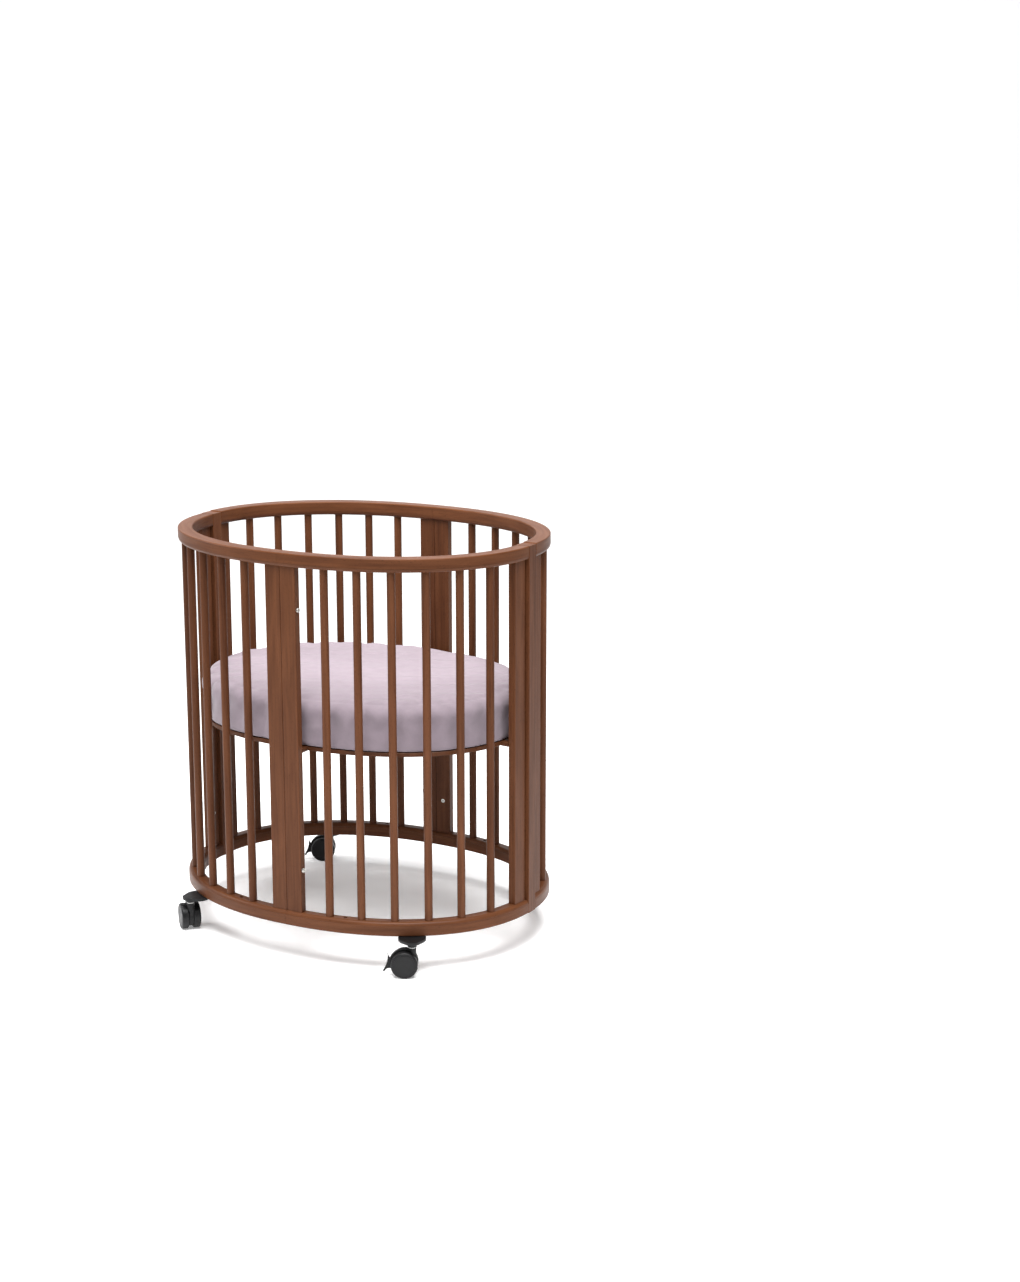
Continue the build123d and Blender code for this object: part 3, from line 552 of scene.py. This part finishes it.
def crumple(points, low, high, pressed):
    """Moves points in or out. The cloth is pressed in beside every spindle and swells between two, as the
    size of a sine wave to a power just under one. The press grows up to seven tenths of the height and is
    full above that. Leaning waves cross the side, and ripples cross the top, stronger at the ends."""
    x, y, z = points.T
    angle = np.arctan2(y / blank_y, x / blank_x)
    reach = np.sqrt((x / blank_x) ** 2 + (y / blank_y) ** 2)
    level = (z - low) / (high - low)
    around = np.concatenate([pressed - 2 * np.pi, pressed, pressed + 2 * np.pi])
    number = np.interp(angle, around, np.arange(len(around), dtype=float))
    bulge = np.abs(np.sin(np.pi * number)) ** 0.85
    uneven = 0.75 + 0.25 * np.sin(7 * angle + 1.1)
    press = (0.25 + 0.75 * np.clip(level / 0.7, 0, 1)) * np.clip((reach - 0.80) / 0.16, 0, 1)
    lean = np.sin(23 * angle + 5.5 * level + 1.4 * np.sin(4 * angle)) + 0.6 * np.sin(41 * angle - 7.0 * level)
    side = np.exp(-((level - 0.50) / 0.26) ** 2) * (reach > 0.9)
    out = np.maximum(-PRESS_DEPTH * press * uneven * (1 - bulge) + LEAN_HEIGHT * side * lean, -DEEPEST)
    top = np.clip((level - 0.9) / 0.08, 0, 1) * np.clip((0.99 - reach) / 0.10, 0, 1)
    across = 0.88 * y - 0.47 * x + 0.012 * np.sin(11 * x + 3 * y)
    ends = 0.45 + 0.55 * np.clip(np.abs(x / blank_x) * 1.2, 0, 1) ** 1.5
    ripples = (np.sin(88 * across + 5 * x) + 0.5 * np.sin(163 * across - 9 * x)
               + 0.9 * np.sin(31 * across + 13 * x))
    dip = top * (1 - bulge) * np.clip((reach - 0.72) / 0.2, 0, 1)
    up = RIPPLE_HEIGHT * top * ends * ripples - DIP_DEPTH * dip
    outward = np.stack([x / blank_x ** 2, y / blank_y ** 2, np.zeros(len(x))], 1)
    outward /= np.maximum(np.linalg.norm(outward, axis=1), 1e-9)[:, None]
    moved = points + outward * out[:, None]
    moved[:, 2] += up
    return moved


pressed = spindle_angles() + CREASE_SHIFT
print("spindles round the sheet:", len(pressed))
folded = crumple(swollen, sheet_bottom, float(sheet_high.z), pressed)
sheet_blank.data.vertices.foreach_set("co", folded.ravel())
sheet_blank.data.update()
print("sheet height:", [round(float(v), 4) for v in (folded[:, 2].min(), folded[:, 2].max())])

# %% Open the underside and give the cloth its thickness
faces = np.array([list(p.vertices) for p in sheet_blank.data.polygons])
centres = folded[faces].mean(1)
opening_reach = np.sqrt((centres[:, 0] / (blank_x - 0.060)) ** 2 + (centres[:, 1] / (blank_y - 0.060)) ** 2)
kept = ~((centres[:, 2] < sheet_bottom + 0.01) & (opening_reach < 1))
used, renumbered = np.unique(faces[kept], return_inverse=True)
fitted_sheet = make_piece("bed_sheet", folded[used], renumbered.reshape(-1, 4))
smooth = fitted_sheet.modifiers.new("finer", "SUBSURF")
smooth.levels = smooth.render_levels = 1
wall = fitted_sheet.modifiers.new("cloth_thickness", "SOLIDIFY")
wall.thickness = 0.0008
wall.offset = -1.0
bpy.data.objects.remove(sheet_blank)
print("sheet faces:", int(kept.sum()))


# %% The elastic hem, a gathered roll round the opening
def hem_points(half_x, half_y, low, rows=16, around=720):
    """A small tube carried round the oval opening, its radius swelling and shrinking in quick gathers."""
    turn = np.linspace(0, 2 * np.pi, around, endpoint=False)
    ring_x, ring_y = oval_ring(turn, half_x, half_y)
    gather = 0.0022 + 0.0006 * np.sin(90 * turn) + 0.0003 * np.sin(143 * turn + 1)
    roll = np.linspace(0, 2 * np.pi, rows, endpoint=False)[:, None]
    normal_x, normal_y = ring_x / half_x ** 2, ring_y / half_y ** 2
    size = np.hypot(normal_x, normal_y)
    out = gather * 1.4 * np.cos(roll)
    up = gather * 0.5 * np.sin(roll)
    x = ring_x + out * normal_x / size
    y = ring_y + out * normal_y / size
    z = low + 0.0014 + up
    return np.stack([x.ravel(), y.ravel(), np.broadcast_to(z, x.shape).ravel()], 1)


hem = make_piece("sheet_hem", hem_points(blank_x - 0.060, blank_y - 0.060, sheet_bottom),
                 grid_faces(16, 720, wrap_columns=True, wrap_rows=True)[:, ::-1])

# %% [markdown]
# ## Cotton
# The sheet is a fine plain weave in pale mauve. Up close the weave is a grid of threads; from a step
# away it only softens the shine. A group makes the weave from two crossed sets of waves in the piece's
# own coordinates, and the sheen on the shader gives the pale edge that cotton has where it turns away.

# %% The weave group
weave, weave_in, weave_out = new_group(
    "plain_weave", [("Vector", "NodeSocketVector", None), ("Threads", "NodeSocketFloat", 1400.0)],
    [("Height", "NodeSocketFloat"), ("Tone", "NodeSocketFloat")])
axes = weave.nodes.new("ShaderNodeSeparateXYZ")
weave.links.new(weave_in.outputs["Vector"], axes.inputs[0])
across_threads = add_math(weave, "SINE", add_math(weave, "MULTIPLY", add_math(weave, "ADD", axes.outputs["X"],
                                                                              axes.outputs["Z"]),
                                                  weave_in.outputs["Threads"]))
along_threads = add_math(weave, "SINE", add_math(weave, "MULTIPLY", add_math(weave, "ADD", axes.outputs["Y"],
                                                                             axes.outputs["Z"]),
                                                 weave_in.outputs["Threads"]))
weave.links.new(add_math(weave, "MULTIPLY", across_threads, along_threads), weave_out.inputs["Height"])
slubs = add_noise(weave, weave_in.outputs["Vector"], 45.0, 4.0, 0.6)
weave.links.new(slubs, weave_out.inputs["Tone"])


def cotton(name, low, high, threads, bump, **sockets):
    """A woven cloth: the slubs drift the colour, the crossed threads give the bump."""
    material, tree, shader = new_material(name, roughness=0.85, **sockets)
    place = tree.nodes.new("ShaderNodeTexCoord")
    node = tree.nodes.new("ShaderNodeGroup")
    node.node_tree = weave
    node.inputs["Threads"].default_value = threads
    tree.links.new(place.outputs["Object"], node.inputs["Vector"])
    ramp = tree.nodes.new("ShaderNodeValToRGB")
    ramp.color_ramp.elements[0].position, ramp.color_ramp.elements[1].position = 0.3, 0.7
    ramp.color_ramp.elements[0].color = (*low, 1.0)
    ramp.color_ramp.elements[1].color = (*high, 1.0)
    tree.links.new(node.outputs["Tone"], ramp.inputs["Fac"])
    tree.links.new(ramp.outputs["Color"], shader.inputs["Base Color"])
    relief = tree.nodes.new("ShaderNodeBump")
    relief.inputs["Strength"].default_value = bump
    relief.inputs["Distance"].default_value = 0.0002
    tree.links.new(node.outputs["Height"], relief.inputs["Height"])
    tree.links.new(relief.outputs["Normal"], shader.inputs["Normal"])
    return material


mauve = cotton("mauve_cotton", (0.205, 0.163, 0.189), (0.232, 0.185, 0.214), 2200.0, 0.12,
               Sheen_Weight=0.25, Sheen_Roughness=0.5)
undyed = cotton("undyed_cover", (0.62, 0.59, 0.54), (0.70, 0.67, 0.62), 1300.0, 0.35)
fitted_sheet.data.materials.append(mauve)
hem.data.materials.append(mauve)
mattress_pad.data.materials.append(undyed)

# %% Fasten the soft pieces to their body and hide the CAD solids that stand for the mattress and sheet
for piece in (fitted_sheet, hem, mattress_pad):
    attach(piece, "mattress")
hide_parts("fitted_sheet")
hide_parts("mattress")
